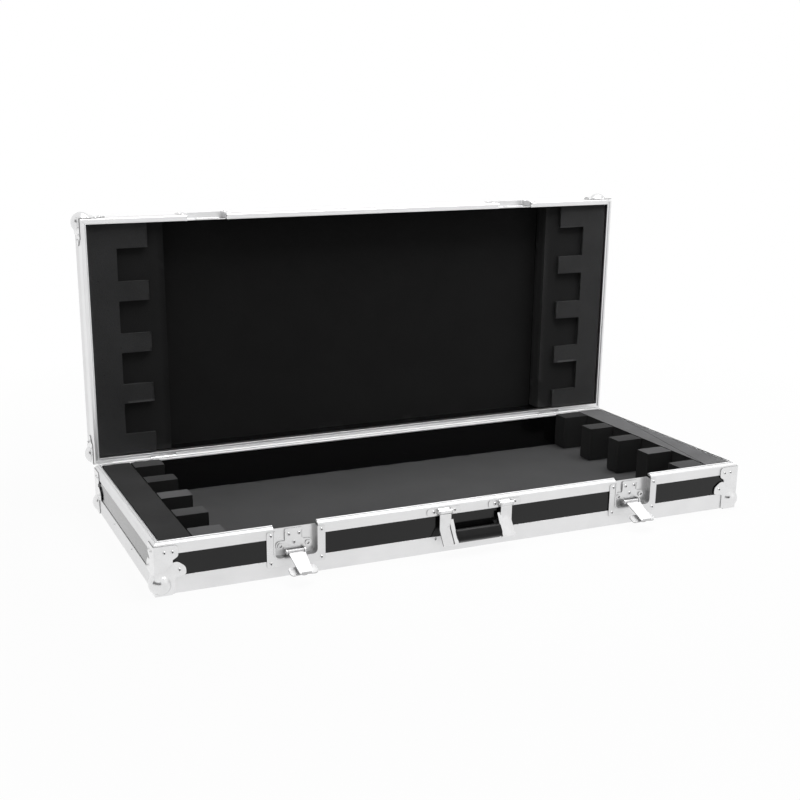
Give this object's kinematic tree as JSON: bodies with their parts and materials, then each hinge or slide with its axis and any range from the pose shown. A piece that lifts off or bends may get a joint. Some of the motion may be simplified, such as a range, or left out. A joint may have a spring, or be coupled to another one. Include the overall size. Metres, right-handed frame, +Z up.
{
  "type": "flight case",
  "caption": "Long low flight case standing open: aluminium-edged laminate base and hinged lid, recessed butterfly latches, drop handle and foam combs that hold bars apart.",
  "frame": {"origin": "centre of the flat underside of the floor panel, between the corner balls", "axes": "X along the length, +Y to the hinged rear, +Z up; the latches and handle face -Y"},
  "size_m": [1.1694, 0.5785, 0.5676],
  "materials": {
    "laminate": "black laminated plywood with a fine pebble texture",
    "aluminium": "satin anodised extrusion",
    "steel": "bright zinc-plated pressed steel",
    "chrome": "bright plated steel",
    "foam": "black closed-cell foam, matt",
    "grip": "black moulded grip, satin"
  },
  "bodies": {
    "base": {"base_ball_corners": "steel", "base_bottom_angles": "aluminium", "base_corner_angles": "aluminium", "base_foam_comb_left": "foam", "base_foam_comb_right": "foam", "base_foam_floor": "foam", "base_handle_brackets": "steel", "base_handle_pins": "chrome", "base_hinge_leaf_left": "steel", "base_hinge_leaf_right": "steel", "base_hinge_pins": "chrome", "base_latch_bars": "chrome", "base_latch_bracket_left": "steel", "base_latch_bracket_right": "steel", "base_latch_dish_left": "steel", "base_latch_dish_right": "steel", "base_panel_floor": "laminate", "base_panel_front": "laminate", "base_panel_left": "laminate", "base_panel_rear": "laminate", "base_panel_right": "laminate", "base_rim_braces": "steel", "base_rim_front": "aluminium", "base_rim_left": "aluminium", "base_rim_rear": "aluminium", "base_rim_right": "aluminium", "base_rivets": "steel"},
    "lid": {"lid_ball_corners": "steel", "lid_foam_comb_left": "foam", "lid_foam_comb_right": "foam", "lid_foam_layer_left": "foam", "lid_foam_layer_right": "foam", "lid_hinge_leaf_left": "steel", "lid_hinge_leaf_right": "steel", "lid_keeper_left": "steel", "lid_keeper_right": "steel", "lid_latch_dish_left": "steel", "lid_latch_dish_right": "steel", "lid_lining": "foam", "lid_panel_front": "laminate", "lid_panel_left": "laminate", "lid_panel_rear": "laminate", "lid_panel_right": "laminate", "lid_panel_top": "laminate", "lid_rim_braces": "steel", "lid_rim_front": "aluminium", "lid_rim_left": "aluminium", "lid_rim_rear": "aluminium", "lid_rim_right": "aluminium", "lid_rivets": "steel", "lid_top_angles": "aluminium"},
    "handle": {"handle_arms": "chrome", "handle_grip": "grip"},
    "latch_carrier_left": {"latch_carrier_left": "steel"},
    "latch_carrier_right": {"latch_carrier_right": "steel"},
    "latch_hook_left": {"latch_hook_left": "steel"},
    "latch_hook_right": {"latch_hook_right": "steel"},
    "latch_wing_left": {"latch_wing_left": "steel"},
    "latch_wing_right": {"latch_wing_right": "steel"}
  },
  "joints": [
    {"name": "lid_hinge", "type": "hinge", "parent": "base", "child": "lid", "pos_m": [0, 0.234, 0.0882], "axis": [1, 0, 0], "range_deg": [0, 90]},
    {"name": "handle_swing", "type": "hinge", "parent": "base", "child": "handle", "pos_m": [0, -0.2393, 0.076], "axis": [-1, 0, 0], "range_deg": [0, 110]},
    {"name": "latch_swing_left", "type": "hinge", "parent": "base", "child": "latch_carrier_left", "pos_m": [-0.335, -0.23, 0.041], "axis": [-1, 0, 0], "range_deg": [0, 114]},
    {"name": "latch_wing_turn_left", "type": "hinge", "parent": "latch_carrier_left", "child": "latch_wing_left", "pos_m": [-0.335, -0.26791, 0.02412], "axis": [0, 0.4067, -0.9135], "range_deg": [0, 180]},
    {"name": "latch_hook_slide_left", "type": "slide", "parent": "latch_carrier_left", "child": "latch_hook_left", "axis": [0, 0.9135, 0.4067], "range_m": [0, 0.003]},
    {"name": "latch_swing_right", "type": "hinge", "parent": "base", "child": "latch_carrier_right", "pos_m": [0.335, -0.23, 0.041], "axis": [-1, 0, 0], "range_deg": [0, 114]},
    {"name": "latch_wing_turn_right", "type": "hinge", "parent": "latch_carrier_right", "child": "latch_wing_right", "pos_m": [0.335, -0.26791, 0.02412], "axis": [0, 0.4067, -0.9135], "range_deg": [0, 180]},
    {"name": "latch_hook_slide_right", "type": "slide", "parent": "latch_carrier_right", "child": "latch_hook_right", "axis": [0, 0.9135, 0.4067], "range_m": [0, 0.003]}
  ],
  "couplings": [
    {"joint": "latch_hook_slide_left", "follows": "latch_wing_turn_left", "m_per_rad": 0.00095},
    {"joint": "latch_hook_slide_right", "follows": "latch_wing_turn_right", "m_per_rad": 0.00095}
  ]
}
